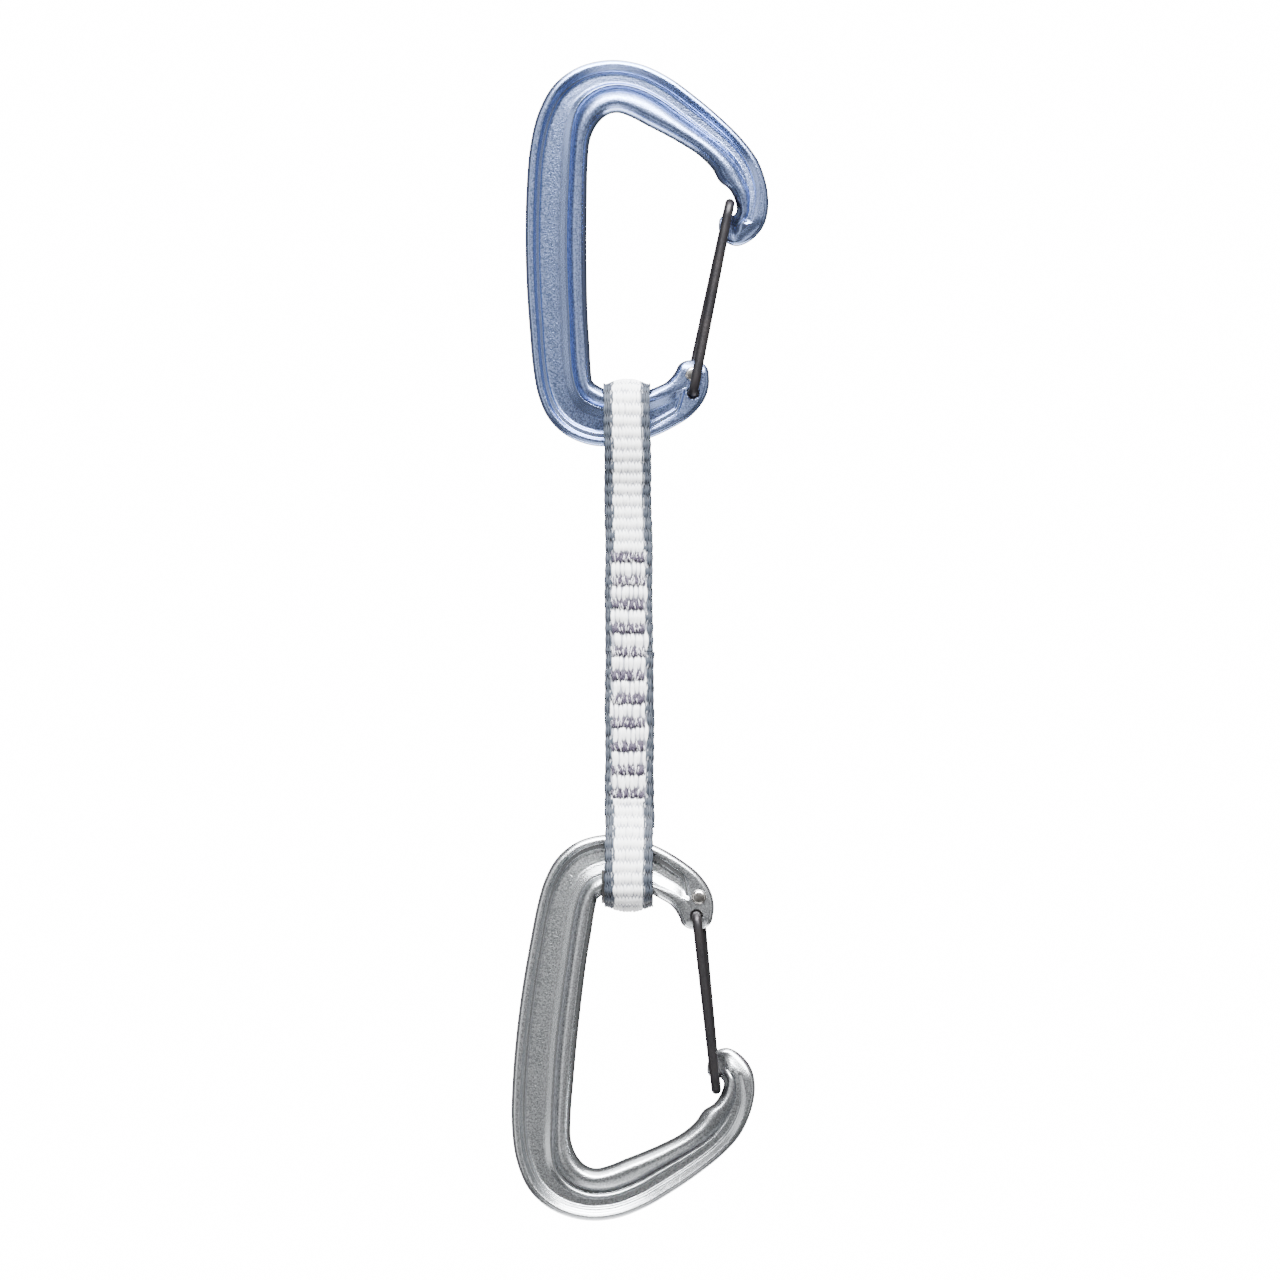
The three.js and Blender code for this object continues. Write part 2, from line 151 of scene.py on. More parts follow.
def smoothLine(points, places):
    # centripetal Catmull-Rom through the points; a place is a point's index, with a fraction
    points = np.array(points, float)
    padded = np.vstack([2 * points[0] - points[1], points, 2 * points[-1] - points[-2]])
    line = []
    for place in places:
        i = min(int(place), len(points) - 2)
        p0, p1, p2, p3 = padded[i:i + 4]
        a, b, c = [max(np.linalg.norm(q - p), 1e-6) ** 0.5 for p, q in ((p0, p1), (p1, p2), (p2, p3))]
        leave = ((p1 - p0) / a - (p2 - p0) / (a + b) + (p2 - p1) / b) * b
        arrive = ((p2 - p1) / b - (p3 - p1) / (b + c) + (p3 - p2) / c) * b
        f = place - i
        line.append((2 * f**3 - 3 * f**2 + 1) * p1 + (f**3 - 2 * f**2 + f) * leave
                    + (3 * f**2 - 2 * f**3) * p2 + (f**3 - f**2) * arrive)
    return np.array(line)


def evenly(points, step):
    # the same line with points a set step apart, and the length run at each
    runs = np.concatenate([[0], np.cumsum(np.linalg.norm(np.diff(points, axis=0), axis=1))])
    count = max(2, int(round(runs[-1] / step)) + 1)
    at = np.linspace(0, runs[-1], count)
    return np.stack([np.interp(at, runs, points[:, k]) for k in range(points.shape[1])], axis=1), at


def rollGrid(name, rings, fields=None, uv=None):
    # a grid primitive rolled into a closed skin: rings holds its places as rows x columns x 3, in mm
    rows, columns = rings.shape[:2]
    bpy.ops.object.select_all(action="DESELECT")
    bpy.ops.mesh.primitive_grid_add(x_subdivisions=columns, y_subdivisions=rows - 1)
    piece = bpy.context.object
    piece.name = name
    piece.data.name = name
    mesh = piece.data
    wrapped = np.concatenate([rings, rings[:, :1]], axis=1)
    mesh.vertices.foreach_set("co", (wrapped.reshape(-1, 3) * mm).ravel())
    for key, values in (fields or {}).items():
        store = mesh.attributes.new(key, "FLOAT", "POINT")
        values = np.concatenate([values, values[:, :1]], axis=1)
        store.data.foreach_set("value", values.ravel().astype(np.float32))
    if uv is not None:
        corner = np.zeros(len(mesh.loops), int)
        mesh.loops.foreach_get("vertex_index", corner)
        mesh.uv_layers.active.data.foreach_set("uv", uv.reshape(-1, 2)[corner].ravel())
    bpy.ops.object.mode_set(mode="EDIT")
    bpy.ops.mesh.select_all(action="SELECT")
    bpy.ops.mesh.remove_doubles(threshold=1e-7)
    # each open end gets a cap of its own
    bpy.ops.mesh.select_all(action="DESELECT")
    bpy.ops.mesh.select_mode(type="EDGE")
    bpy.ops.mesh.select_non_manifold(extend=False, use_wire=False, use_boundary=True,
                                     use_multi_face=False, use_non_contiguous=False, use_verts=False)
    bpy.ops.mesh.edge_face_add()
    bpy.ops.mesh.select_mode(type="VERT")
    bpy.ops.mesh.select_all(action="SELECT")
    bpy.ops.mesh.normals_make_consistent(inside=False)
    bpy.ops.object.mode_set(mode="OBJECT")
    bpy.ops.object.shade_smooth()
    return piece


def sweepRound(name, path, radius, sides):
    # a round rod along a path
    tangents = np.gradient(path, axis=0)
    tangents /= np.linalg.norm(tangents, axis=1)[:, None]
    side = np.cross(tangents[0], (0.3, 0.5, 0.81))
    frames = []
    for tangent in tangents:
        side = side - tangent * side.dot(tangent)
        side = side / np.linalg.norm(side)
        frames.append((side, np.cross(tangent, side)))
    turns = np.arange(sides) * 2 * math.pi / sides
    rings = np.array([
        p + radius * (np.cos(turns)[:, None] * a + np.sin(turns)[:, None] * b)
        for p, (a, b) in zip(path, frames)
    ])
    return rollGrid(name, rings)


# carabiner forging
forging = {
    "basket": (2.26, -50.8, 12.6),
    "eyeDepth": 2.8,
    "holes": {"front": (16.9, -63.2), "back": (16.8, -59.0)},
    "holeRadius": 1.36,
    "ropeEnd": {"x": -5.0, "z": -238.0, "lean": math.radians(5.8)},
}


def basketPoint(angle):
    x, z, radius = forging["basket"]
    turn = math.radians(angle)
    return (x + radius * math.sin(turn), z - radius * math.cos(turn))


# outer and inner edge of the bar, in pairs, from the eye round the basket, up the spine,
# over the crook and down to the nose hook
barEdges = [
    ((18.3, -55.7), (15.2, -55.9)),
    ((20.0, -57.3), (13.8, -57.1)),
    ((20.6, -60.2), (12.8, -58.5)),
    ((20.3, -62.6), (11.9, -59.7)),
    ((19.2, -65.2), (10.6, -60.85)),
    ((16.4, -68.4), (8.7, -61.75)),
    ((11.6, -71.4), basketPoint(17)),
    ((6.2, -73.7), basketPoint(4)),
    ((0.2, -75.0), basketPoint(-9)),
    ((-5.8, -75.0), basketPoint(-22)),
    ((-11.6, -72.8), basketPoint(-39)),
    ((-15.6, -69.0), (-6.0, -59.0)),
    ((-17.9, -64.0), (-6.2, -56.5)),
    ((-19.1, -58.0), (-6.4, -52.5)),
    ((-19.9, -49.5), (-6.8, -46.0)),
    ((-20.6, -39.5), (-7.0, -38.0)),
    ((-20.9, -29.0), (-7.1, -29.0)),
    ((-20.7, -18.0), (-7.0, -19.0)),
    ((-19.9, -8.0), (-6.8, -11.0)),
    ((-18.0, 0.0), (-6.2, -5.8)),
    ((-14.5, 6.3), (-4.6, -2.5)),
    ((-9.0, 10.3), (-2.4, -0.5)),
    ((-2.0, 11.9), (0.0, 0.0)),
    ((5.0, 11.0), (3.0, -1.0)),
    ((11.5, 8.0), (6.6, -2.9)),
    ((17.6, 3.6), (10.5, -4.9)),
    ((23.4, -1.3), (14.4, -7.1)),
    ((28.2, -6.1), (18.2, -9.6)),
    ((31.5, -10.6), (21.2, -12.6)),
    ((33.2, -15.0), (22.9, -15.5)),
    ((33.9, -19.0), (25.0, -17.2)),
    ((33.8, -22.4), (26.4, -19.8)),
    ((32.7, -25.8), (26.7, -22.2)),
    ((30.2, -28.6), (25.9, -23.1)),
    ((27.0, -30.0), (24.9, -23.2)),
    ((24.7, -29.4), (24.0, -23.1)),
    ((23.4, -28.1), (23.4, -23.3)),
    ((22.9, -27.0), (22.9, -24.0)),
]

# the forged section at places along the bar: rounded rim and land, wall, ledge, second wall, web,
# slope up to a crest, valley and round rod. Distances run in from the outer edge, but the rod's
# from the inner edge; each y is a half-depth
sectionKeys = ("at", "railD", "railY", "ledgeD", "ledgeY", "lipD", "lipY", "footD", "webD", "webY", "tilt",
               "stepD", "stepY", "crestD", "crestY", "valleyD", "valleyY", "rodD", "rodY")
sections = np.array([
    (0.0, 1.5, 2.8, 1.7, 2.3, 1.8, 2.2, 1.9, 2.1, 1.9, 0.0, 2.2, 2.0, 2.5, 2.7, 2.6, 2.8, 1.2, 2.8),
    (3.0, 2.7, 2.8, 2.82, 2.2, 3.65, 2.18, 3.78, 4.6, 1.7, 0.0, 4.7, 1.8, 5.4, 2.7, 5.5, 2.8, 1.5, 2.8),
    (5.0, 2.4, 2.8, 2.54, 2.2, 3.5, 2.18, 3.64, 5.2, 1.6, 0.04, 5.35, 1.75, 6.9, 2.7, 7.1, 2.75, 1.6, 3.0),
    (7.0, 1.7, 3.1, 1.87, 2.3, 3.2, 2.26, 3.36, 5.5, 1.6, 0.08, 5.7, 1.75, 8.0, 2.5, 8.3, 2.4, 1.8, 3.9),
    (9.0, 1.5, 3.3, 1.72, 2.35, 3.1, 2.31, 3.3, 5.9, 1.6, 0.10, 6.1, 1.75, 8.6, 2.5, 8.9, 2.3, 2.0, 4.2),
    (11.0, 1.5, 3.3, 2.1, 2.35, 3.0, 2.25, 3.4, 6.4, 1.6, 0.14, 6.6, 1.75, 9.2, 2.5, 9.6, 2.1, 2.0, 4.0),
    (13.0, 1.6, 3.3, 2.3, 2.35, 3.0, 2.2, 3.3, 6.6, 1.6, 0.16, 6.8, 1.75, 9.2, 2.5, 9.6, 2.0, 1.8, 3.8),
    (18.0, 1.8, 3.3, 2.5, 2.35, 3.2, 2.2, 3.5, 7.0, 1.6, 0.18, 7.2, 1.75, 9.5, 2.5, 9.95, 2.0, 1.8, 3.8),
    (20.0, 1.55, 3.3, 2.6, 2.25, 3.15, 2.1, 3.5, 6.0, 1.65, 0.14, 6.2, 1.9, 7.3, 2.6, 8.2, 1.9, 2.1, 4.2),
    (22.0, 1.3, 3.2, 2.75, 2.15, 3.05, 2.05, 3.4, 5.0, 1.7, 0.05, 5.1, 1.8, 5.6, 2.45, 6.75, 1.75, 2.35, 4.5),
    (26.0, 1.3, 3.1, 2.5, 2.15, 2.8, 2.05, 3.1, 4.6, 1.75, 0.04, 4.7, 1.85, 5.15, 2.4, 6.0, 1.8, 2.4, 4.4),
    (28.0, 1.4, 3.1, 2.2, 2.6, 2.7, 2.4, 3.0, 4.1, 1.95, 0.04, 4.25, 2.05, 4.5, 2.3, 5.2, 1.7, 2.5, 4.2),
    (29.5, 1.5, 3.1, 2.3, 2.8, 2.8, 2.5, 3.0, 3.8, 2.25, 0.02, 3.9, 2.2, 4.0, 2.2, 4.4, 1.75, 2.5, 3.8),
    (31.0, 2.4, 3.1, 3.0, 2.85, 3.35, 2.65, 3.5, 4.05, 2.5, 0.02, 4.05, 2.3, 4.15, 2.2, 4.5, 1.9, 2.2, 3.5),
    (32.2, 2.95, 3.1, 3.35, 2.85, 3.55, 2.75, 3.7, 4.12, 2.6, 0.02, 4.15, 2.4, 4.2, 2.3, 4.5, 2.1, 1.9, 3.25),
    (33.5, 2.5, 3.0, 3.0, 2.8, 3.3, 2.7, 3.5, 4.1, 2.6, 0.02, 4.15, 2.6, 4.2, 2.7, 4.5, 2.9, 1.4, 3.0),
    (37.0, 0.3, 2.6, 0.4, 2.4, 0.5, 2.3, 0.6, 0.7, 2.2, 0.0, 0.8, 2.2, 0.9, 2.3, 1.0, 2.3, 0.3, 2.6),
])
recessEnds = {
    "eye": {"at": (14.7, -64.7), "inward": (-0.971, 0.237), "corner": 1.1, "shorten": 2.0,
            "sideAt": (13.5, -62.6), "sideInward": (0.303, -0.953)},
    "nose": {"at": (30.0, -25.3), "inward": (0.12, 0.993), "corner": 0.9, "shorten": 1.0},
}
# the hook: a thin tongue that the gate loop passes over, with a thicker lower lip
hook = {"tongueY": 1.5, "from": 28.3, "to": 25.4, "top": 21.4, "foot": 23.0, "lipTop": -26.4,
        "lipBottom": -29.2, "lipFrom": 24.2, "lipTo": 26.6, "lipY": 2.0}


def sectionAt(place):
    # averaged over a stretch of bar, so that one section flows into the next
    around = place + np.linspace(-0.7, 0.7, 9)
    columns = zip(sectionKeys, sections.T)
    return {key: np.interp(around, sections[:, 0], column).mean() for key, column in columns}


def smoothStep(value, low, high):
    share = np.clip((value - low) / (high - low), 0, 1)
    return share * share * (3 - 2 * share)


def roundedLeast(a, b, radius):
    # the smaller of two distances in from two walls, with the corner between them rounded
    corner = radius - np.hypot(np.maximum(radius - a, 0), np.maximum(radius - b, 0))
    return np.where((a < radius) & (b < radius), corner, np.minimum(a, b))


def inwardFrom(at, inward, x, z):
    # how far points lie in from a straight wall
    return (x - at[0]) * inward[0] + (z - at[1]) * inward[1]


def columnsAcross(s, width):
    # distances in from the outer edge, close together where the section turns
    rim = 0.84 * min(s["railD"], 1.4)
    flank = 0.08 * rim
    turns = np.radians(np.linspace(0, 84, 10))
    runs = [[0], [flank * 0.25], flank + (rim - flank) * (1 - np.cos(turns))]
    stops = [(rim, 3), (s["railD"], 4), (s["ledgeD"], 8), (s["lipD"], 3), (s["footD"], 10), (s["webD"], 3),
             (s["stepD"], 8), (s["crestD"], 4)]
    ends = [stop[0] for stop in stops[1:]] + [s["valleyD"]]
    for (start, count), end in zip(stops, ends):
        runs.append(start + (end - start) * np.arange(count) / count)
    ridge = width - s["rodD"]
    turns = np.radians(np.linspace(90, 0, 10))[:-1]
    runs.append(ridge - (ridge - s["valleyD"]) * np.sin(turns))
    turns = np.radians(np.linspace(0, 90, 11))
    runs.append(ridge + s["rodD"] * np.sin(turns))
    return np.concatenate(runs), rim, flank


def depthAcross(place, s, width, rim, flank, d, x, z):
    # the half-depth and how plainly blasted the face is, at distances d in from the outer edge
    b, c = d - s["railD"], s["valleyD"] - d
    for name, near in (("eye", place < 9), ("nose", place > 27)):
        if near:
            end = recessEnds[name]
            a = inwardFrom(end["at"], end["inward"], x, z)
            r = end["corner"]
            if name == "eye" and place < 6.5:
                side = inwardFrom(end["sideAt"], end["sideInward"], x, z)
                c = np.where(c > 0, np.minimum(c, side), c)
            inCorner = (a < r) & (c < r) & (c > 0)
            b = roundedLeast(np.where(inCorner, r - np.hypot(r - a, r - c), a), b, r)
            c = np.where(c > 0, roundedLeast(end["shorten"] * a, c, end["corner"]), c)
            c = np.where((a < 0) & (d < s["valleyD"]), np.minimum(c, 0), c)
    rail, valley = s["railD"], s["valleyD"]
    outerWall = np.interp(b, [0, s["ledgeD"] - rail, s["lipD"] - rail, s["footD"] - rail],
                          [s["railY"], s["ledgeY"], s["lipY"], s["webY"] - s["tilt"]])
    outerWall = np.where(b < s["footD"] - rail, outerWall, 0)
    innerWall = np.interp(c, [0, valley - s["crestD"], valley - s["stepD"], valley - s["webD"]],
                          [s["valleyY"], s["crestY"], s["stepY"], s["webY"] + s["tilt"]])
    innerWall = np.where(c < valley - s["webD"], innerWall, 0)
    middle, half = 0.5 * (s["footD"] + s["webD"]), 0.5 * (s["webD"] - s["footD"]) + 0.01
    floor = s["webY"] + s["tilt"] * np.clip((d - middle) / half, -1, 1)
    y = np.maximum(np.maximum(outerWall, innerWall), floor)
    onFloor = 1 - smoothStep(y - floor, 0.02, 0.25)
    onLand = smoothStep(d, 0.6 * rim, rim) * (1 - smoothStep(b, -0.1, 0.1))
    blast = 0.15 + 0.85 * np.clip(onFloor + onLand, 0, 1)
    # the rod
    e = width - d
    far = width - valley - s["rodD"]
    near = np.clip(1 - e / s["rodD"], 0, 1)
    away = np.clip((e - s["rodD"]) / max(far, 0.05), 0, 1)
    rod = np.where(e < s["rodD"], s["rodY"] * np.sqrt(1 - near**2),
                   s["valleyY"] + (s["rodY"] - s["valleyY"]) * (1 - away**2.3) ** 0.62)
    y = np.where(d > valley, rod, y)
    rodFront = smoothStep(e, 0.45 * s["rodD"], 0.9 * s["rodD"])
    blast = np.where(d > valley, 0.25 + 0.6 * rodFront, blast)
    # the rim: a nearly straight flank, then a rounded corner
    out = np.clip(1 - (d - flank) / (rim - flank), 0, 1)
    corner = np.sqrt(1 - out**2)
    y = np.where(d < rim, y - (rim - flank) * (1 - corner), y)
    y = np.where(d < flank, y * np.sqrt(np.clip(d / flank, 0, 1)), y)
    # the tip is domed, and beyond it is the hook
    if place > 28.5:
        fromEdge = np.minimum(d, e)
        y = y - 0.9 * smoothStep(-z, 23.5, 29) * (1 - smoothStep(d, 0.3, 5.5))
        inTongue = (1 - smoothStep(x, hook["to"], hook["from"])) * smoothStep(-z, hook["top"], hook["foot"])
        lip = smoothStep(-z, -hook["lipTop"], -hook["lipBottom"])
        lip = lip * smoothStep(x, hook["lipFrom"], hook["lipTo"])
        low = hook["tongueY"] + (hook["lipY"] - hook["tongueY"]) * lip
        rounded = np.sqrt(np.clip(1 - np.clip(1 - fromEdge / 0.9, 0, 1) ** 2.2, 0, 1))
        y = y + (np.minimum(y, low * rounded) - y) * inTongue
        smooth = smoothStep(-z, 23.5, 26.5) * (1 - inTongue)
        blast = blast * (1 - 0.7 * smooth)
    return y, blast


def forgedBar():
    places = np.concatenate([
        np.linspace(1.6, 3.2, 16)[:-1], np.linspace(3.2, 5.6, 64)[:-1], np.linspace(5.6, 31.0, 190)[:-1],
        np.linspace(31.0, 34.0, 56)[:-1], np.linspace(34.0, 36.9, 30),
    ])
    edges = np.array(barEdges, float)
    outer = smoothLine(edges[:, 0], places)
    inner = smoothLine(edges[:, 1], places)
    rings, blasts = [], []
    for place, a, b in zip(places, outer, inner):
        width = np.linalg.norm(b - a)
        s = sectionAt(place)
        scale = min(1, width / (s["valleyD"] + 1.5 * s["rodD"]))
        for key in sectionKeys[1:]:
            if key.endswith("D"):
                s[key] *= scale
        d, rim, flank = columnsAcross(s, width)
        across = a + (b - a) * (d[:, None] / width)
        y, blast = depthAcross(place, s, width, rim, flank, d, across[:, 0], across[:, 1])
        y[1:-1] = 0.25 * y[:-2] + 0.5 * y[1:-1] + 0.25 * y[2:]
        front = np.stack([across[:, 0], -y, across[:, 1]], axis=1)
        back = front[-2:0:-1] * (1, -1, 1)
        rings.append(np.vstack([front, back]))
        blasts.append(np.concatenate([blast, blast[-2:0:-1]]))
    # both ends are domed
    for end, reach in ((0, 2.75), (-1, 0.35)):
        base, near = np.array(rings[end]), np.array(rings[1 if end == 0 else -2])
        middle = base.mean(axis=0)
        out = middle - near.mean(axis=0)
        out = out / np.linalg.norm(out)
        for turn in (7, 14, 21, 28, 35, 42, 49, 56, 63, 69, 75, 81, 87):
            size = math.cos(math.radians(turn))
            ring = middle + (base - middle) * size + out * reach * math.sin(math.radians(turn))
            where = 0 if end == 0 else len(rings)
            rings.insert(where, ring)
            blasts.insert(where, blasts[end])
    return rollGrid("forgedBar", np.array(rings), fields={"blast": np.array(blasts)})


def drillEye(bar):
    # the two holes for the wire ends, with a small countersink on each face
    for x, z in forging["holes"].values():
        bpy.ops.object.select_all(action="DESELECT")
        radius, depth = forging["holeRadius"] * mm, forging["eyeDepth"] * mm
        bpy.ops.mesh.primitive_cylinder_add(vertices=40, radius=radius, depth=2 * depth - 0.7 * mm,
                                            location=(x * mm, 0, z * mm), rotation=(math.radians(90), 0, 0))
        drill = bpy.context.object
        bpy.ops.object.transform_apply(location=True, rotation=True, scale=True)
        bpy.ops.object.mode_set(mode="EDIT")
        bpy.ops.mesh.select_mode(type="FACE")
        bpy.ops.mesh.select_all(action="DESELECT")
        bpy.ops.object.mode_set(mode="OBJECT")
        for face in drill.data.polygons:
            face.select = abs(face.normal.y) > 0.9
        bpy.ops.object.mode_set(mode="EDIT")
        bpy.ops.mesh.extrude_faces_move(TRANSFORM_OT_shrink_fatten={"value": 0.5 * mm})
        bpy.ops.object.mode_set(mode="OBJECT")
        for vertex in drill.data.vertices:
            if abs(vertex.co.y) > depth:
                vertex.co.x = x * mm + (vertex.co.x - x * mm) * 1.1
                vertex.co.z = z * mm + (vertex.co.z - z * mm) * 1.1
        cutOut = bar.modifiers.new("eyeHole", "BOOLEAN")
        cutOut.object = drill
        cutOut.operation = "DIFFERENCE"
        cutOut.solver = "EXACT"
        bpy.context.view_layer.objects.active = bar
        bpy.ops.object.modifier_apply(modifier=cutOut.name)
        bpy.data.objects.remove(drill)


def finishPiece(piece, angle=40):
    bpy.ops.object.select_all(action="DESELECT")
    piece.select_set(True)
    bpy.context.view_layer.objects.active = piece
    bpy.ops.object.shade_smooth_by_angle(angle=math.radians(angle))
    return piece


def toRopeEnd(points):
    # from the bolt-end carabiner's place to the rope-end one's: half a turn about X, then the lean
    end = forging["ropeEnd"]
    c, s = math.cos(end["lean"]), math.sin(end["lean"])
    x, y, z = points[..., 0], -points[..., 1], -points[..., 2]
    return np.stack([x * c + z * s + end["x"], y, z * c - x * s + end["z"]], axis=-1)


def copyToRopeEnd(piece, name):
    twin = piece.copy()
    twin.data = piece.data.copy()
    twin.name = name
    twin.data.name = name
    bpy.context.collection.objects.link(twin)
    places = np.zeros(len(twin.data.vertices) * 3, np.float32)
    twin.data.vertices.foreach_get("co", places)
    moved = toRopeEnd(places.reshape(-1, 3) / mm) * mm
    twin.data.vertices.foreach_set("co", moved.ravel())
    twin.data.update()
    return twin


# gate wire
gateWire = {
    "radius": 1.1,
    "legY": 4.35,
    "tip": (25.2, -20.5),
    "tipHalfWidth": 3.1,
    "headRadius": 1.72,
    "headHeight": 0.85,
    "stay": (0.6, 3.2),  # from the middle of the holes, where the wire stops following the frame
    "swing": (2.4, 12.0),  # and where it follows the gate
}


def wirePath():
    # one leg from inside its hole up to the tip, then over and down the other leg
    depth = forging["eyeDepth"]
    tipX, tipZ = gateWire["tip"]
    top = gateWire["tipHalfWidth"]

    def leg(hole, side):
        x, z = hole
        rise = lambda f, y: (x + (tipX - x) * f, side * y, z + (tipZ - z) * f)
        out = gateWire["legY"]
        return [
            (x, -side * (depth - 0.2), z), (x, side * 0.5, z), (x, side * (depth - 0.6), z),
            (x, side * (depth + 0.35), z + 0.12), rise(0.018, out - 0.35), rise(0.05, out),
            rise(0.09, out + 0.1), rise(0.25, out - 0.05), rise(0.5, out - 0.42), rise(0.75, out - 0.82),
            rise(0.9, top + 0.08),
            rise(0.96, top - 0.12), rise(0.988, top - 0.75), rise(1.0, top - 1.7),
        ]

    front = leg(forging["holes"]["front"], -1)
    back = leg(forging["holes"]["back"], 1)
    points = front + [(tipX, 0, tipZ)] + back[::-1]
    dense = smoothLine(points, np.linspace(0, len(points) - 1, 600))
    return evenly(dense, 0.5)[0]


def gateLoop():
    return sweepRound("gateLoop", wirePath(), gateWire["radius"], sides=20)


def wireHead(hole, side, name):
    # the end of the wire, peened over to a dome in its hole's mouth
    bpy.ops.object.select_all(action="DESELECT")
    x, z = hole
    bpy.ops.mesh.primitive_uv_sphere_add(segments=32, ring_count=20, radius=gateWire["headRadius"] * mm,
                                         location=(x * mm, side * forging["eyeDepth"] * mm, z * mm),
                                         rotation=(math.radians(90), 0, 0))
    head = bpy.context.object
    head.name = name
    head.scale = (1, 1, gateWire["headHeight"] / gateWire["headRadius"])
    bpy.ops.object.transform_apply(location=True, rotation=True, scale=True)
    for vertex in head.data.vertices:
        # the hammer leaves the crown a little flat
        out = abs(vertex.co.y) - forging["eyeDepth"] * mm
        crown = 0.72 * gateWire["headHeight"] * mm
        if out > crown:
            vertex.co.y = side * (forging["eyeDepth"] * mm + crown + 0.35 * (out - crown))
        if out < -0.25 * mm:
            vertex.co.y = side * (forging["eyeDepth"] * mm - 0.25 * mm)
    bpy.ops.object.mode_set(mode="EDIT")
    bpy.ops.mesh.select_all(action="SELECT")
    bpy.ops.mesh.remove_doubles(threshold=1e-6)
    bpy.ops.mesh.normals_make_consistent(inside=False)
    bpy.ops.object.mode_set(mode="OBJECT")
    return finishPiece(head, 50)


# webbing
tape = {
    "x": 2.3,
    "middles": ((-180, -160, -100, -60), (2.35, 2.45, 2.45, 1.9)),
    "halfWidth": 5.4,
    "core": 0.56,
    "relief": 0.40,
    "ply": 1.95,
    "rib": 2.62,
    "whiteHalf": 3.1,
    "whiteColumn": 0.775,
    "slateColumn": 0.575,
    "step": 0.33,
    "acrossOut": 92,
    "acrossIn": 60,
    "split": -121.52,
    "innerEnd": -96.5,
    "outerEnd": -161.3,
}
tacks = {"count": 11, "firstZ": -100.2, "pitch": 5.33, "halfWidth": 3.7}
tackZ = [tacks["firstZ"] - i * tacks["pitch"] for i in range(tacks["count"])]
boltArch = {"z": -66.3, "radius": 5.55}
ropeArch = {"z": -172.9, "radius": 6.45}


def chance(a, b, salt=0.0):
    # a repeatable number from 0 to 1 for a pair of whole numbers
    x = np.sin(a * 12.9898 + b * 78.233 + salt * 37.719) * 43758.5453
    return x - np.floor(x)


def floats(u, v, column, rib, offset, reach, wide=1.12, wander=0.06, ragged=0.12):
    # the raised yarns of a woven face: height 0 to 1, and the yarn's own middle and chance number
    best = np.zeros_like(u)
    middle = np.zeros_like(u)
    number = np.zeros_like(u)
    nearest = np.round(v / rib)
    for shift in (-1, 0, 1):
        row = nearest + shift
        stagger = offset + 0.5 * column * np.mod(row, 2)
        column0 = np.round((u - stagger) / column)
        luck = chance(row, column0)
        x = u - stagger - column0 * column - wander * (luck - 0.5) * 2
        along = (v - row * rib - ragged * (chance(row, column0, 2.0) - 0.5) * rib) / (reach * rib)
        body = np.clip(1 - along**2, 0, 1)
        half = 0.5 * column * wide * body**0.75 + 1e-6
        rise = body**0.55 * np.sqrt(np.clip(1 - (x / half) ** 2, 0, 1)) * (0.86 + 0.14 * luck)
        won = rise > best
        best = np.where(won, rise, best)
        middle = np.where(won, stagger + column0 * column, middle)
        number = np.where(won, luck, number)
    return best, middle, number


def weave(u, v, stitched):
    # relief, slate share and yarn tone of the tape's face at places across (u) and along (v)
    t = tape
    white, whiteMiddle, whiteLuck = floats(u, v, t["whiteColumn"], t["rib"], 0.5 * t["whiteColumn"], 0.57)
    white = np.where(np.abs(whiteMiddle) < t["whiteHalf"] + 0.1, white, 0)
    slate, slateMiddle, slateLuck = floats(u, v + 0.12 * np.sign(u), t["slateColumn"], t["rib"],
                                           0.15, 0.6, wide=0.98, wander=0.03)
    slateEdge = t["whiteHalf"] + 0.1
    if stitched is not None:
        # between the tacks the white yarns are bunched into one long swollen row
        inTacks, toTack = stitched
        big, bigMiddle, bigLuck = floats(u, toTack, 0.98, tacks["pitch"], 0.3, 0.47, wide=1.05, wander=0.26,
                                          ragged=0.36)
        big = np.where(np.abs(bigMiddle) < 3.9, big, 0)
        white = white + (big - white) * inTacks
        whiteLuck = np.where(inTacks > 0.5, bigLuck, whiteLuck)
        slateEdge = slateEdge + 0.5 * inTacks
    slate = np.where(np.abs(slateMiddle) > slateEdge, 0.85 * slate + 0.08, 0)
    isSlate = (slate > white) | (np.abs(u) > slateEdge + 0.55)
    rise = np.where(isSlate, slate, white)
    return rise, isSlate.astype(float), np.where(isSlate, slateLuck, whiteLuck)


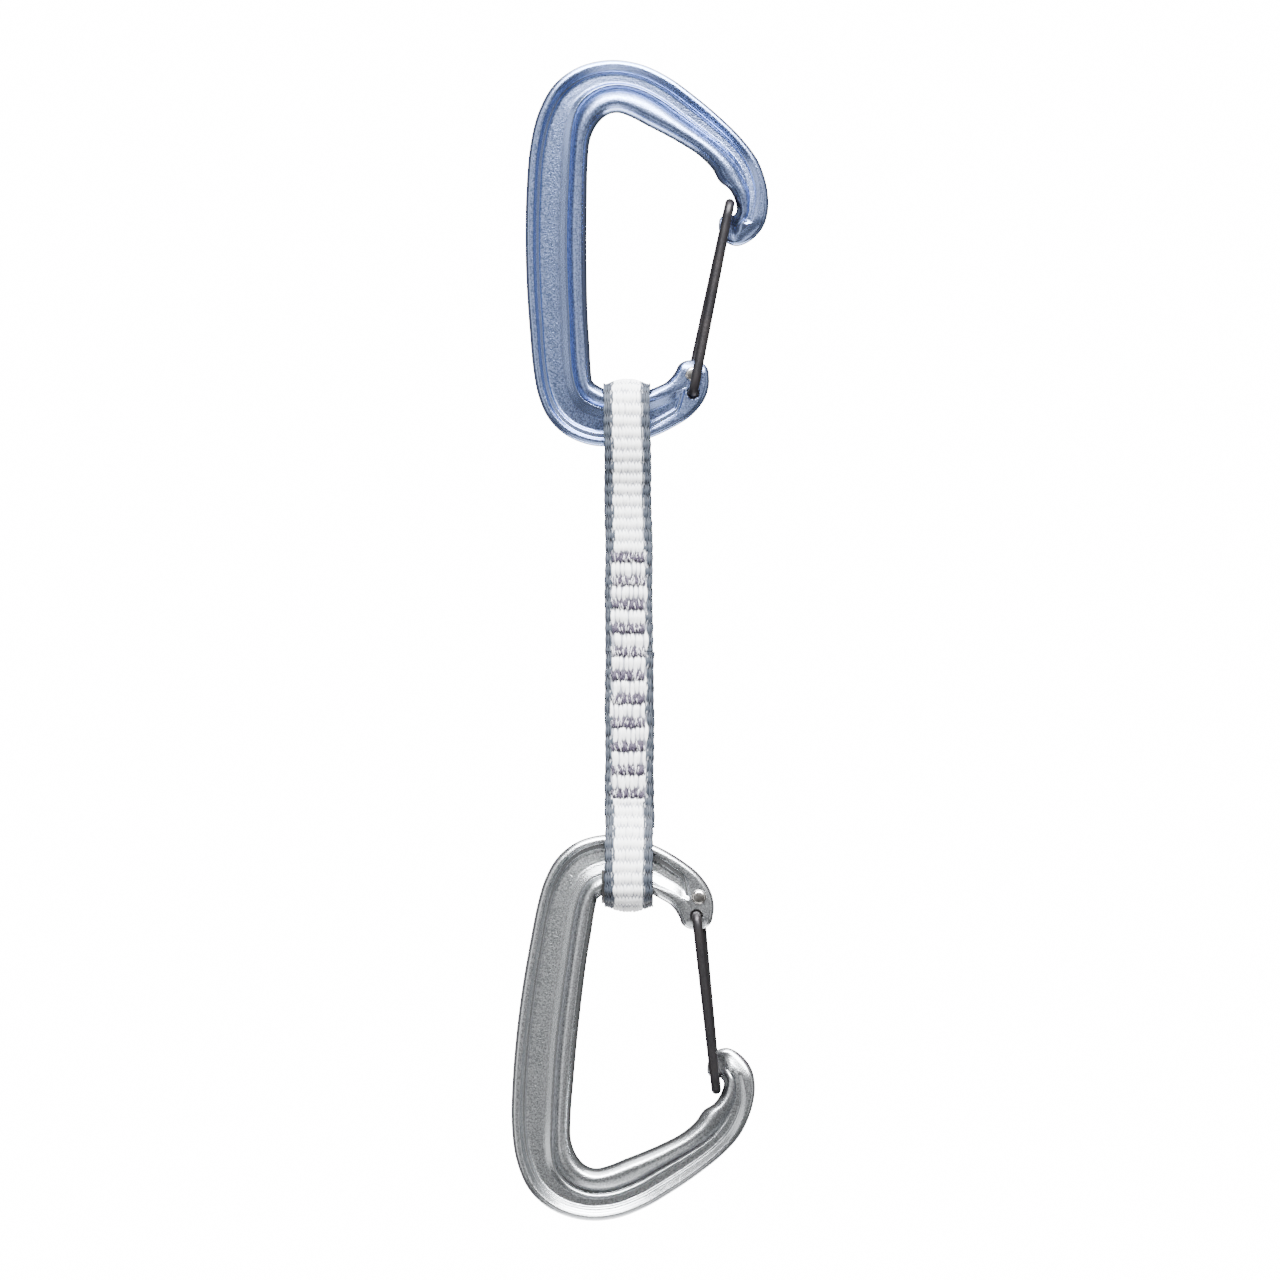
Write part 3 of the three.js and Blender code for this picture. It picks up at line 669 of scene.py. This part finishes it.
def tapeRun(name, points, start, xShift=0.0, drop=0.0, stitchFront=False, stitchBack=False):
    # one length of tape along a line of (y, z) points. Its front face is the one on the line's left
    dense = smoothLine(points, np.linspace(0, len(points) - 1, 40 * len(points)))
    line, runs = evenly(dense, tape["step"])
    tangents = np.gradient(line, axis=0)
    tangents /= np.linalg.norm(tangents, axis=1)[:, None]
    normals = np.stack([-tangents[:, 1], tangents[:, 0]], axis=1)
    v = (runs + start)[:, None]
    z = line[:, 1][:, None]
    wide = tape["halfWidth"]

    tackPhase = (z - tacks["firstZ"]) / tacks["pitch"]
    inTacks = np.clip((tacks["firstZ"] + 2.0 - z) / 1.2, 0, 1) * np.clip((z - tackZ[-1] + 2.0) / 1.2, 0, 1)
    inTacks = inTacks * (np.abs(tangents[:, 1:2]) > 0.98)
    toTack = (tackPhase + 0.5) * tacks["pitch"]
    pull = np.cos(2 * math.pi * tackPhase)

    # where thread crowds in between the bunched yarns
    crowded = inTacks * (1 - smoothStep(np.abs(tackPhase - np.round(tackPhase)), 0.12, 0.40))
    sides = []
    for face, count in ((1, tape["acrossOut"]), (-1, tape["acrossIn"])):
        u = np.linspace(-wide, wide, count)[None, :] * face
        stitch = (inTacks, toTack) if (stitchFront if face == 1 else stitchBack) else None
        rise, slate, luck = weave(u + 0 * v, v + 0 * u, stitch)
        edge = np.sqrt(np.clip(1 - (np.abs(u) / (wide + 0.02)) ** 10, 0, 1))
        swell = 0.05 * np.cos(2 * math.pi * v / tape["rib"])
        thick = (tape["core"] - 0.05 + swell + tape["relief"] * rise) * edge
        if stitch is not None:
            inside = np.clip(1 - (np.abs(u) / 4.4) ** 6, 0, 1)
            thick = thick - inTacks * inside * 0.20 * (pull + 0.35)
        # the relief field only colours the tape: its low places get painted gap shade, and lowering it where
        # thread crowds in widens that painted shade, tinted as thread
        relief = np.clip(rise, 0, 1)
        sewn = (crowded if stitch is not None else 0) * np.clip(1 - (np.abs(u) / 3.9) ** 8, 0, 1)
        relief = relief - 0.35 * sewn
        sides.append((u + 0 * v, face * thick, relief, slate, luck, sewn + 0 * v))
    u = np.concatenate([s[0] for s in sides], axis=1)
    lift = np.concatenate([s[1] for s in sides], axis=1)
    fields = {
        "relief": np.concatenate([s[2] for s in sides], axis=1),
        "slate": np.concatenate([s[3] for s in sides], axis=1),
        "tone": np.concatenate([s[4] for s in sides], axis=1),
        "sewn": np.concatenate([s[5] for s in sides], axis=1),
    }
    if drop:
        # where the tape turns round a bar its middle stands up and its edges are pulled flat
        crown = np.clip(normals[:, 1:2] * np.sign(drop), 0, 1) ** 1.5
        pulled = np.where(lift > 0, np.clip((np.abs(u) - 0.8) / 3.6, 0, 1) ** 1.6, 0)
        lift = lift - abs(drop) * crown * pulled
    y = line[:, :1] + normals[:, :1] * lift
    zz = line[:, 1:2] + normals[:, 1:2] * lift
    wobble = 0.08 * np.sin(v * 0.31 + 0.7) + 0.05 * np.sin(v * 0.83)
    scallop = 0.06 * np.cos(2 * math.pi * v / tape["rib"])
    middle = np.interp(z, tape["middles"][0], tape["middles"][1])
    narrowing = np.interp(z, (-110, -60), (1, 0.965))
    x = middle + xShift + u * (narrowing + scallop / wide) + wobble
    rings = np.stack([x + 0 * y, y, zz], axis=-1)
    uvAcross = np.concatenate([u, u[:, :1]], axis=1)
    uv = np.stack([uvAcross * mm * 100, (v + 0 * uvAcross) * mm * 100], axis=-1)
    return rollGrid(name, rings, fields=fields, uv=uv)


def archPoints(arch, up, turns):
    radius = arch["radius"]
    return [(radius * math.cos(math.radians(t)), arch["z"] + up * radius * math.sin(math.radians(t)))
            for t in turns]


def sewnSling():
    ply = tape["ply"]
    split = tape["split"]
    boltSide = [(5.4, -72), (5.0, -76), (3.9, -80), (2.75, -84), (2.1, -88), (ply, -92)]
    crown = archPoints(boltArch, 1, (180, 150, 120, 90, 60, 30, 0))
    front = [(-ply, split), (-ply, -114), (-ply, -106), (-ply, -98)] + [(-y, z) for y, z in boltSide[::-1]]
    back = boltSide + [(ply, -98), (ply, -106), (ply, -114), (ply, split)]
    upper = tapeRun("sling_bolt_half", front + crown + back, 0.0, drop=1.0, stitchFront=True)

    ropeFront = [(-6.35, -169.6), (-5.9, -166), (-4.9, -162.6), (-3.2, -159.2), (-2.1, -155.5),
                 (-ply, -151.5)]
    ropeBack = [(6.35, -169.2), (5.7, -166), (4.3, -162.8), (2.1, -159.2), (0.4, -155.8), (0, -151.5)]
    hollow = archPoints(ropeArch, -1, (0, 30, 60, 90, 120, 150, 180))
    up = [(0, -144), (0, -136), (0, -128), (0, split)]
    down = [(-ply, -144), (-ply, -136), (-ply, -128), (-ply, split)]
    lower = tapeRun("sling_rope_half", (up[::-1] + ropeBack[::-1] + hollow + ropeFront + down), 0.0,
                    drop=-0.9, stitchFront=True)
    innerEnd = tapeRun("sling_inner_end", [(0, split), (0, -115), (0, -108), (0, tape["innerEnd"])], 0.0)
    outerEnd = tapeRun("sling_outer_end",
                       [(ply + 0.25, tape["outerEnd"]), (ply + 0.12, -157.5), (ply, -152), (ply, -144),
                        (ply, -136), (ply, -128), (ply, split)], 0.0, xShift=0.32, stitchBack=True)
    return upper, lower, innerEnd, outerEnd


# strands of a layer, their reach up and down, how proud they stand, and their radius
threadLayers = ((27, 1.05, 0.26, 0.15), (19, 1.25, 0.14, 0.13))


def tackThread(z, number):
    # one bar tack: a zigzag of thread on each face, with white and grey passes mixed
    rods = []
    for side in (-1, 1):
        for layer, (count, reach, proud, radius) in enumerate(threadLayers):
            for k in range(count):
                luck = [float(chance(number * 7 + layer, k, salt)) for salt in (1.0, 2.0, 3.0, 4.0)]
                x = tape["x"] + tacks["halfWidth"] * (2 * (k + 0.5) / count - 1) + 0.12 * (luck[0] - 0.5)
                lean = (0.22 if k % 2 else -0.22) + 0.3 * (luck[1] - 0.5)
                low = z - reach * (0.55 + 0.75 * luck[2])
                high = z + reach * (0.25 + 0.95 * luck[3])
                face = 1.5 * tape["ply"] - 0.35
                along = np.linspace(0, 1, 7)
                hump = proud * np.sin(math.pi * along) ** 0.5 + 0.25 * np.sin(math.pi * along) ** 0.3
                path = np.array([
                    (x - lean + 2 * lean * f, side * (face - 0.1 + h), low + (high - low) * f)
                    for f, h in zip(along, hump)
                ])
                rods.append((path, radius, luck[0]))
    sides = 6
    turns = np.arange(sides) * 2 * math.pi / sides
    points, faces, tones = [], [], []
    for path, radius, tone in rods:
        tangents = np.gradient(path, axis=0)
        tangents /= np.linalg.norm(tangents, axis=1)[:, None]
        base = len(points)
        for i, (p, tangent) in enumerate(zip(path, tangents)):
            a = np.cross(tangent, (1, 0, 0))
            a /= np.linalg.norm(a)
            b = np.cross(tangent, a)
            shrink = 0.6 if i in (0, len(path) - 1) else 1
            for turn in turns:
                points.append((p + shrink * radius * (math.cos(turn) * a + math.sin(turn) * b)) * mm)
                tones.append(tone)
        for i in range(len(path) - 1):
            for j in range(sides):
                k = (j + 1) % sides
                q = base + i * sides
                faces.append((q + j, q + k, q + sides + k, q + sides + j))
        faces.append([base + j for j in range(sides)][::-1])
        faces.append([base + (len(path) - 1) * sides + j for j in range(sides)])
    name = f"tack_{number:02d}"
    mesh = bpy.data.meshes.new(name)
    mesh.from_pydata([tuple(p) for p in points], [], faces)
    store = mesh.attributes.new("tone", "FLOAT", "POINT")
    store.data.foreach_set("value", np.array(tones, np.float32))
    piece = bpy.data.objects.new(name, mesh)
    bpy.context.collection.objects.link(piece)
    bpy.ops.object.select_all(action="DESELECT")
    piece.select_set(True)
    bpy.context.view_layer.objects.active = piece
    bpy.ops.object.mode_set(mode="EDIT")
    bpy.ops.mesh.select_all(action="SELECT")
    bpy.ops.mesh.normals_make_consistent(inside=False)
    bpy.ops.object.mode_set(mode="OBJECT")
    bpy.ops.object.shade_smooth()
    return piece


# rubber keeper
keeper = {"x": 2.1, "width": 11.6, "radius": 5.36, "archZ": -172.9, "topZ": -170.6, "side": 0.9,
          "round": 0.35}


def rubberKeeper():
    # a saddle inside the rope-end loop: a drum with its top pressed flat, hollowed by the bar's curve
    bpy.ops.object.select_all(action="DESELECT")
    bpy.ops.mesh.primitive_cylinder_add(vertices=72, radius=keeper["radius"] * mm, depth=keeper["width"] * mm,
                                        location=(keeper["x"] * mm, 0, keeper["archZ"] * mm),
                                        rotation=(0, math.radians(90), 0))
    saddle = bpy.context.object
    saddle.name = "keeper_saddle"
    saddle.data.name = saddle.name
    bpy.ops.object.transform_apply(location=True, rotation=True, scale=True)
    for vertex in saddle.data.vertices:
        vertex.select = vertex.co.z > (keeper["archZ"] + 0.1) * mm
        if vertex.select:
            vertex.co.z = keeper["topZ"] * mm
    rounding = saddle.modifiers.new("rounding", "BEVEL")
    rounding.width = keeper["round"] * mm
    rounding.segments = 3
    bpy.ops.object.modifier_apply(modifier=rounding.name)

    # the room for the bar, spun round the basket's centre
    centreX, centreZ, radius = forging["basket"]
    centre = toRopeEnd(np.array([centreX, 0.0, centreZ]))
    half = keeper["radius"] - keeper["side"]
    profile = [(radius - 0.12, -1.3), (radius + 0.3, -2.8), (radius + 1.0, -3.8), (radius + 1.9, -half),
               (30, -half), (30, half), (radius + 1.9, half), (radius + 1.0, 3.8), (radius + 0.3, 2.8),
               (radius - 0.12, 1.3)]
    bpy.ops.mesh.primitive_circle_add(vertices=len(profile), radius=mm)
    room = bpy.context.object
    for vertex, (r, y) in zip(room.data.vertices, profile):
        vertex.co = ((centre[0] + r) * mm, y * mm, centre[2] * mm)
    bpy.ops.object.mode_set(mode="EDIT")
    bpy.ops.mesh.select_all(action="SELECT")
    bpy.ops.mesh.spin(steps=96, angle=math.radians(360), center=tuple(centre * mm), axis=(0, 1, 0))
    bpy.ops.mesh.select_all(action="SELECT")
    bpy.ops.mesh.remove_doubles(threshold=1e-6)
    bpy.ops.mesh.normals_make_consistent(inside=False)
    bpy.ops.object.mode_set(mode="OBJECT")
    hollow = saddle.modifiers.new("hollow", "BOOLEAN")
    hollow.object = room
    hollow.solver = "EXACT"
    hollow.operation = "DIFFERENCE"
    bpy.ops.object.select_all(action="DESELECT")
    bpy.context.view_layer.objects.active = saddle
    bpy.ops.object.modifier_apply(modifier=hollow.name)
    bpy.data.objects.remove(room)
    return finishPiece(saddle, 35)


# materials

def newMaterial(name):
    material = bpy.data.materials.new(name)
    material.use_nodes = True
    tree = material.node_tree
    return material, tree, tree.nodes["Principled BSDF"]


def node(tree, kind, settings=None, **values):
    made = tree.nodes.new(kind)
    for key, value in (settings or {}).items():
        setattr(made, key, value)
    for key, value in values.items():
        made.inputs[key].default_value = value
    return made


def objectPlace(tree):
    return node(tree, "ShaderNodeTexCoord").outputs["Object"]


def named(tree, attribute):
    return node(tree, "ShaderNodeAttribute", {"attribute_name": attribute}).outputs["Fac"]


def ranged(tree, source, fromLow, fromHigh, toLow, toHigh):
    made = node(tree, "ShaderNodeMapRange")
    for key, value in zip(("From Min", "From Max", "To Min", "To Max"), (fromLow, fromHigh, toLow, toHigh)):
        made.inputs[key].default_value = value
    tree.links.new(source, made.inputs["Value"])
    return made.outputs["Result"]


def worked(tree, operation, a, b, clamp=False):
    made = node(tree, "ShaderNodeMath", {"operation": operation, "use_clamp": clamp})
    for k, value in enumerate((a, b)):
        if isinstance(value, (int, float)):
            made.inputs[k].default_value = value
        else:
            tree.links.new(value, made.inputs[k])
    return made.outputs["Value"]


def mixed(tree, share, a, b, blend="MIX"):
    made = node(tree, "ShaderNodeMix", {"data_type": "RGBA", "blend_type": blend})
    for key, value in (("Factor", share), ("A", a), ("B", b)):
        if isinstance(value, tuple):
            made.inputs[key].default_value = (*value, 1)
        elif isinstance(value, (int, float)):
            made.inputs[key].default_value = value
        else:
            tree.links.new(value, made.inputs[key])
    return made.outputs["Result"]


def noisy(tree, place, scale, detail=2.0, rough=0.5):
    made = node(tree, "ShaderNodeTexNoise", Scale=scale, Detail=detail, Roughness=rough)
    tree.links.new(place, made.inputs["Vector"])
    return made.outputs["Fac"]


def bumped(tree, shader, height, distance, strength):
    bump = node(tree, "ShaderNodeBump", Distance=distance, Strength=strength)
    tree.links.new(height, bump.inputs["Height"])
    tree.links.new(bump.outputs["Normal"], shader.inputs["Normal"])


anodised = {
    "blue": {"coat": (0.275, 0.355, 0.605), "deep": (0.05, 0.07, 0.17)},
    "grey": {"coat": (0.51, 0.53, 0.55), "deep": (0.17, 0.18, 0.195)},
    "polish": 0.24,
    "dull": 0.29,
    "grainHeight": 0.00007,
    "grainDepth": 0.6,
}


def anodisedMetal(name, tint):
    # a shot-blasted forging under a clear coloured anodic film
    material, tree, shader = newMaterial(name)
    link = tree.links.new
    place = objectPlace(tree)
    blast = named(tree, "blast")
    grain = noisy(tree, place, 3300, 1.0, 0.5)
    pepper = noisy(tree, place, 2900, 1.0, 0.6)
    cloud = noisy(tree, place, 60, 2.0)
    dark = worked(tree, "MULTIPLY", ranged(tree, pepper, 0.42, 0.56, 1, 0),
                  worked(tree, "MULTIPLY", blast, anodised["grainDepth"]))
    paler = tuple(1.06 * c for c in tint["coat"])
    coat = mixed(tree, ranged(tree, cloud, 0.3, 0.7, 0, 1), tint["coat"], paler)
    link(mixed(tree, dark, coat, tint["deep"]), shader.inputs["Base Color"])
    shader.inputs["Metallic"].default_value = 1.0
    link(ranged(tree, blast, 0, 1, anodised["polish"], anodised["dull"]), shader.inputs["Roughness"])
    rough = worked(tree, "ADD", worked(tree, "MULTIPLY", blast, 0.85), 0.15)
    bumped(tree, shader, worked(tree, "MULTIPLY", grain, rough), anodised["grainHeight"], 1.0)
    return material


steel = {"dark": (0.022, 0.021, 0.024), "warm": (0.036, 0.032, 0.033), "bright": (0.50, 0.48, 0.46)}


def darkSteel():
    material, tree, shader = newMaterial("darkSteel")
    place = objectPlace(tree)
    cloud = noisy(tree, place, 160, 3.0)
    fine = noisy(tree, place, 2400, 2.0)
    tree.links.new(mixed(tree, ranged(tree, cloud, 0.4, 0.75, 0, 1), steel["dark"], steel["warm"]),
                   shader.inputs["Base Color"])
    shader.inputs["Metallic"].default_value = 0.75
    tree.links.new(ranged(tree, fine, 0.3, 0.7, 0.34, 0.46), shader.inputs["Roughness"])
    bumped(tree, shader, fine, 0.00004, 0.5)
    return material


def brightSteel():
    material, tree, shader = newMaterial("brightSteel")
    place = objectPlace(tree)
    dents = noisy(tree, place, 900, 2.0)
    tree.links.new(mixed(tree, ranged(tree, dents, 0.35, 0.7, 0, 1), steel["bright"], (0.72, 0.70, 0.68)),
                   shader.inputs["Base Color"])
    shader.inputs["Metallic"].default_value = 1.0
    tree.links.new(ranged(tree, dents, 0.3, 0.7, 0.16, 0.28), shader.inputs["Roughness"])
    bumped(tree, shader, dents, 0.00006, 0.5)
    return material


# yarn colours and painted shade colours: whiteShade and the gap colour are painted shade for the low places
# between the yarns, and the sewn gap colour is the stitching thread's dark purple, darkened further as
# painted shade
webbing = {
    "white": (0.88, 0.882, 0.89),
    "whiteShade": (0.30, 0.31, 0.36),
    "slate": (0.014, 0.018, 0.028),
    "slatePale": (0.060, 0.071, 0.092),
    "gap": (0.0015, 0.0015, 0.003),
    "sewnThreadAndShade": (0.05, 0.042, 0.062),
}


def wovenTape():
    material, tree, shader = newMaterial("wovenTape")
    link = tree.links.new
    relief, slate, tone = named(tree, "relief"), named(tree, "slate"), named(tree, "tone")
    across = node(tree, "ShaderNodeUVMap").outputs["UV"]
    stretch = node(tree, "ShaderNodeMapping")
    stretch.inputs["Scale"].default_value = (95, 9, 1)
    link(across, stretch.inputs["Vector"])
    filament = noisy(tree, stretch.outputs["Vector"], 1.0, 2.0)
    threads = ranged(tree, filament, 0.3, 0.7, 0, 1)
    white = mixed(tree, worked(tree, "MULTIPLY", threads, 0.25), webbing["white"], webbing["whiteShade"])
    dark = mixed(tree, worked(tree, "MULTIPLY", threads, 0.9), webbing["slate"], webbing["slatePale"])
    dark = mixed(tree, worked(tree, "MULTIPLY", tone, 0.4), dark, webbing["slatePale"])
    yarn = mixed(tree, slate, white, dark)
    # painted shade between the yarns: where the relief field is low the colour turns to a dark shade colour,
    # and in sewn places to the thread's colour darkened as shade
    whiteGapShadeAndThread = mixed(tree, named(tree, "sewn"), webbing["whiteShade"], webbing["sewnThreadAndShade"])
    shadow = mixed(tree, slate, whiteGapShadeAndThread, webbing["gap"])
    top = ranged(tree, relief, 0.10, 0.45, 0, 1)
    link(mixed(tree, top, shadow, yarn), shader.inputs["Base Color"])
    shader.inputs["Roughness"].default_value = 0.6
    shader.inputs["Specular IOR Level"].default_value = 0.25
    bumped(tree, shader, filament, 0.00005, 0.6)
    return material


thread = {"grey": (0.012, 0.009, 0.018), "mid": (0.09, 0.075, 0.12), "white": (0.84, 0.84, 0.86)}


def tackThreadFinish():
    material, tree, shader = newMaterial("tackThread")
    link = tree.links.new
    tone = named(tree, "tone")
    place = objectPlace(tree)
    twist = noisy(tree, place, 5200, 2.0)
    base = mixed(tree, ranged(tree, twist, 0.35, 0.65, 0, 1), thread["grey"], thread["mid"])
    pale = mixed(tree, ranged(tree, twist, 0.3, 0.7, 0, 1), thread["white"], thread["mid"])
    link(mixed(tree, ranged(tree, tone, 0.64, 0.68, 0, 1), base, pale), shader.inputs["Base Color"])
    shader.inputs["Roughness"].default_value = 0.6
    bumped(tree, shader, twist, 0.00004, 0.7)
    return material


rubber = {"dark": (0.010, 0.010, 0.011), "pale": (0.022, 0.022, 0.024)}


def mouldedRubber():
    material, tree, shader = newMaterial("mouldedRubber")
    place = objectPlace(tree)
    fine = noisy(tree, place, 1900, 2.0)
    tree.links.new(mixed(tree, ranged(tree, fine, 0.3, 0.7, 0, 1), rubber["dark"], rubber["pale"]),
                   shader.inputs["Base Color"])
    tree.links.new(ranged(tree, fine, 0.3, 0.7, 0.5, 0.64), shader.inputs["Roughness"])
    bumped(tree, shader, fine, 0.00004, 0.5)
    return material


def dress(piece, material):
    piece.data.materials.clear()
    piece.data.materials.append(material)


# the making
placeCamera()
lightStudio()
layFloor()
print("camera, lights and floor are in place")

blueMetal = anodisedMetal("anodisedBlue", anodised["blue"])
greyMetal = anodisedMetal("anodisedGrey", anodised["grey"])
steelDark = darkSteel()
steelBright = brightSteel()

boltBar = forgedBar()
boltBar.name = "bolt_end_forging"
drillEye(boltBar)
finishPiece(boltBar, 58)
ropeBar = copyToRopeEnd(boltBar, "rope_end_forging")
dress(boltBar, blueMetal)
dress(ropeBar, greyMetal)
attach(boltBar, "bolt_carabiner")
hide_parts("bolt_end_frame")
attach(ropeBar, "rope_carabiner")
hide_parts("rope_end_frame")
print("carabiner forgings made")

boltWire = gateLoop()
boltWire.name = "bolt_end_gate_loop"
ropeWire = copyToRopeEnd(boltWire, "rope_end_gate_loop")
pivot = np.array([0.5 * (a + b) for a, b in zip(forging["holes"]["front"], forging["holes"]["back"])])
for wire, carabiner in ((boltWire, "bolt"), (ropeWire, "rope")):
    dress(wire, steelDark)
    stay, swing = [np.array([pivot[0] + x, 0, pivot[1] + z])
                   for x, z in (gateWire["stay"], gateWire["swing"])]
    if carabiner == "rope":
        stay, swing = toRopeEnd(stay), toRopeEnd(swing)
    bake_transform(wire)
    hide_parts(f"{carabiner}_end_gate_wire")
heads = [("a", forging["holes"]["back"], -1), ("b", forging["holes"]["front"], 1)]
for mark, hole, side in heads:
    head = wireHead(hole, side, f"bolt_end_wire_head_{mark}")
    dress(head, steelBright)
    twin = copyToRopeEnd(head, f"rope_end_wire_head_{mark}")
    for piece, carabiner in ((head, "bolt"), (twin, "rope")):
        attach(piece, f"{carabiner}_carabiner")
print("gate wires made")

woven = wovenTape()
upper, lower, innerEnd, outerEnd = sewnSling()
for piece in (upper, lower, innerEnd, outerEnd):
    dress(piece, woven)
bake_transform(upper)
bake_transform(lower)
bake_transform(outerEnd)
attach(innerEnd, "sling")
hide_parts("tape_bolt_loop", "tape_front_run")
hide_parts("tape_rope_loop")
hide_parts("tape_inner_end")
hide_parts("tape_outer_end")
print("sling woven")

sewing = tackThreadFinish()
for number, z in enumerate(tackZ, 1):
    tack = tackThread(z, number)
    dress(tack, sewing)
    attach(tack, "sling")
    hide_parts(f"bar_tack_{number:02d}")
print("bar tacks sewn")

saddle = rubberKeeper()
dress(saddle, mouldedRubber())
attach(saddle, "rope_loop")
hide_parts("rubber_keeper")
print("keeper moulded")
